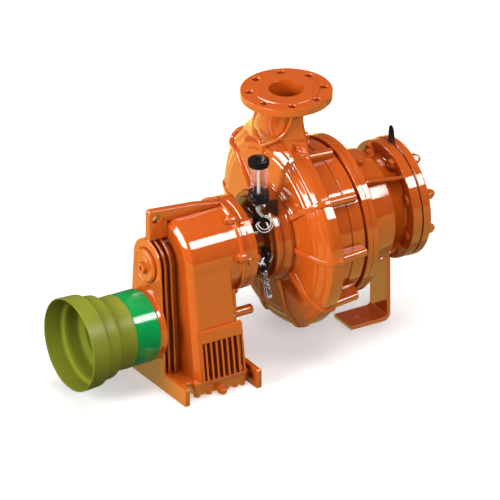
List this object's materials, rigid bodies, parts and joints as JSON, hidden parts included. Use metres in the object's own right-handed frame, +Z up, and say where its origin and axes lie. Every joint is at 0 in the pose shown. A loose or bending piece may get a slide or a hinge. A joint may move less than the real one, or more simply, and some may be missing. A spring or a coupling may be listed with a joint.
{
  "type": "centrifugal sludge pump",
  "caption": "Centrifugal sludge pump with ribbed spiral casing, upright discharge flange, finned gear unit, power take-off guard and oil reservoir.",
  "frame": {"origin": "middle of the underside of the front foot rail, on the floor", "axes": "+Y along the pump shaft from the power take-off to the suction side, +Z up, +X to the right seen from the power take-off"},
  "size_m": [0.5133, 0.955, 0.677],
  "materials": {
    "orange_paint": "glossy enamel over casting",
    "shaded_paint": "glossy enamel over casting",
    "olive_plastic": "satin moulded",
    "green_plastic": "glossy moulded",
    "black_plastic": "moulded",
    "black_rubber": "matte",
    "clear_glass": "clear",
    "bright_steel": "machined",
    "dark_steel": "dark coated sheet",
    "cast_iron": "as cast",
    "chrome_fitting": "polished"
  },
  "bodies": {
    "root": {"volute_casing": "orange_paint", "seal_housing": "orange_paint", "lantern_neck": "shaded_paint", "pump_shaft": "bright_steel", "impeller": "cast_iron", "suction_cover": "orange_paint", "suction_gasket": "black_rubber", "suction_flange": "orange_paint", "suction_screw_0": "orange_paint", "suction_screw_1": "orange_paint", "support_foot": "orange_paint", "gear_front_cover": "orange_paint", "bearing_cap": "orange_paint", "gear_cover_fins": "shaded_paint", "gear_housing": "orange_paint", "lifting_web": "orange_paint", "side_fins_right": "shaded_paint", "side_fins_left": "shaded_paint", "sump_pan": "orange_paint", "drain_plug": "orange_paint", "gear_rear_rail": "orange_paint", "pto_guard_cone": "olive_plastic", "pto_guard_collar": "green_plastic", "input_shaft": "bright_steel", "reservoir_cap_bottom": "black_plastic", "reservoir_glass": "clear_glass", "reservoir_tube": "clear_glass", "reservoir_cap_top": "black_plastic", "reservoir_outlet": "bright_steel", "reservoir_bracket": "dark_steel", "drain_valve": "chrome_fitting"}
  },
  "joints": []
}
